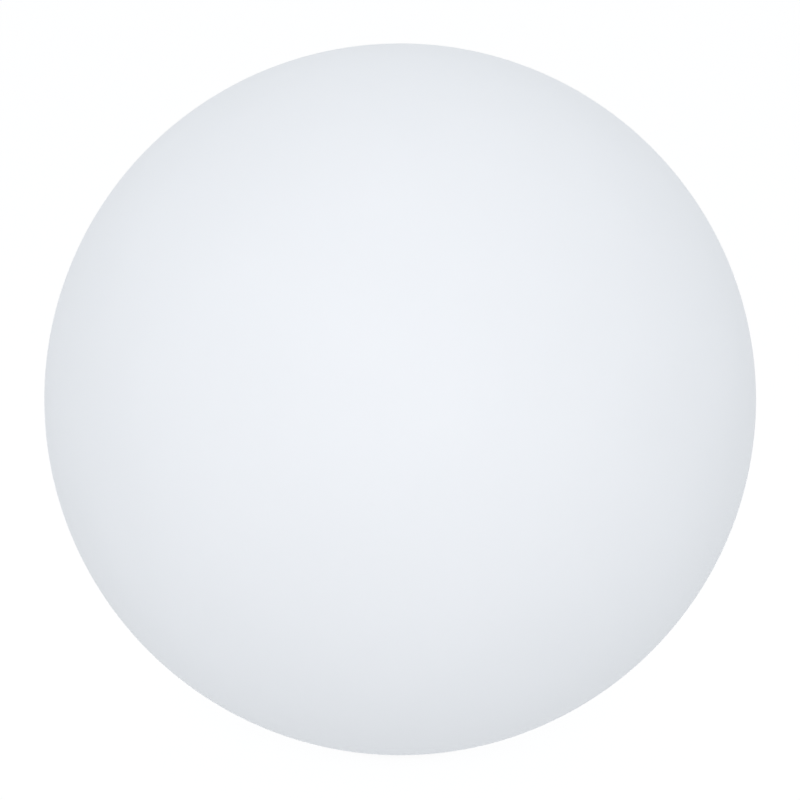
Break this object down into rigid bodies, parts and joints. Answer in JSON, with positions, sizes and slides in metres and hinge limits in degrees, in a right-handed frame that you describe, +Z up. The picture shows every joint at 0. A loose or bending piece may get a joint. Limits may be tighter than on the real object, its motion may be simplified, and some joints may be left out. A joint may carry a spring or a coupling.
{
  "type": "garden globe light",
  "caption": "Opal white globe lamp for garden or patio that stands on a flat foot; the globe unscrews from a rechargeable light module with a bail, a power button and a covered charging port.",
  "frame": {"origin": "centre of the foot ring's ground face, which is the bottom centre of the light", "axes": "+Z up along the globe's thread; +Y the side that the folded bail lies on; the front of the picture is -Y"},
  "size_m": [0.3, 0.2998, 0.2938],
  "materials": {
    "opal_plastic": "matt rotomoulded skin, lets light through",
    "white_plastic": "fine matt moulding",
    "stainless_steel": "bright drawn",
    "seal_rubber": "matt, soft",
    "slip_plastic": "smooth, unpigmented",
    "foot_rubber": "matt, soft",
    "grey_plastic": "fine matt moulding",
    "black_plastic": "matt moulding",
    "component_black": "moulded epoxy",
    "cover_rubber": "matt, soft",
    "clear_plastic": "clear, polished",
    "board_green": "solder mask over glass laminate",
    "ferrite_grey": "pressed iron powder",
    "capacitor_can": "bright can",
    "connector_white": "smooth moulding",
    "emitter_white": "white moulding",
    "zinc_steel": "bright zinc plated",
    "cell_steel": "nickel plated can",
    "sleeve_blue": "shrunk film",
    "lead_red": "insulated stranded wire",
    "lead_black": "insulated stranded wire",
    "spreader_aluminium": "mill finish",
    "board_white": "white solder mask over metal core",
    "phosphor_yellow": "silicone with phosphor",
    "lens_plastic": "frosted, lets light through"
  },
  "bodies": {
    "light_module": {"base_housing": "white_plastic", "foot_ring": "foot_rubber", "rim_seal": "seal_rubber", "bail_brackets": "grey_plastic", "bracket_screws": "stainless_steel", "tact_switch": "component_black", "charging_socket": "stainless_steel", "socket_tongue": "component_black", "port_frame": "grey_plastic", "hinge_pin": "stainless_steel", "light_pipe": "clear_plastic", "control_board": "board_green", "board_chips": "component_black", "inductor": "ferrite_grey", "capacitors": "capacitor_can", "wire_connectors": "connector_white", "indicator_led": "emitter_white", "board_screws": "zinc_steel", "battery_cell": "cell_steel", "protection_board": "board_green", "battery_sleeve": "sleeve_blue", "battery_cradle": "black_plastic", "battery_strap": "black_plastic", "battery_lead_red": "lead_red", "battery_lead_black": "lead_black", "heat_spreader": "spreader_aluminium", "led_board": "board_white", "led_cases": "emitter_white", "led_phosphors": "phosphor_yellow", "led_screws": "zinc_steel", "led_lead_red": "lead_red", "led_lead_black": "lead_black", "lens_seal": "seal_rubber", "dome_lens": "lens_plastic", "dome_screws": "stainless_steel"},
    "slip_washer": {"slip_washer": "slip_plastic"},
    "globe": {"globe_shell": "opal_plastic", "neck_ring": "white_plastic", "neck_screws": "stainless_steel", "neck_gasket": "seal_rubber"},
    "power_button": {"button_cap": "grey_plastic", "button_ring": "seal_rubber", "switch_plunger": "black_plastic"},
    "port_cover": {"port_cover": "cover_rubber"},
    "bail": {"bail": "stainless_steel"}
  },
  "joints": [
    {"name": "globe_lift", "type": "slide", "parent": "light_module", "child": "slip_washer", "axis": [0, 0, 1], "range_m": [0, 0.061]},
    {"name": "globe_turn", "type": "hinge", "parent": "slip_washer", "child": "globe", "pos_m": [0, 0, 0], "axis": [0, 0, 1], "range_deg": [0, 900]},
    {"name": "button_press", "type": "slide", "parent": "light_module", "child": "power_button", "axis": [0, 0, 1], "range_m": [0, 0.001], "stiffness_N_per_m": 1500},
    {"name": "port_cover_hinge", "type": "hinge", "parent": "light_module", "child": "port_cover", "pos_m": [0.01, -0.0021, 0.0067], "axis": [1, 0, 0], "range_deg": [0, 110]},
    {"name": "bail_swing", "type": "hinge", "parent": "light_module", "child": "bail", "pos_m": [0, 0, 0.0062], "axis": [-1, 0, 0], "range_deg": [0, 180]}
  ],
  "couplings": [
    {"joint": "globe_lift", "follows": "globe_turn", "m_per_rad": 0.0038197}
  ]
}
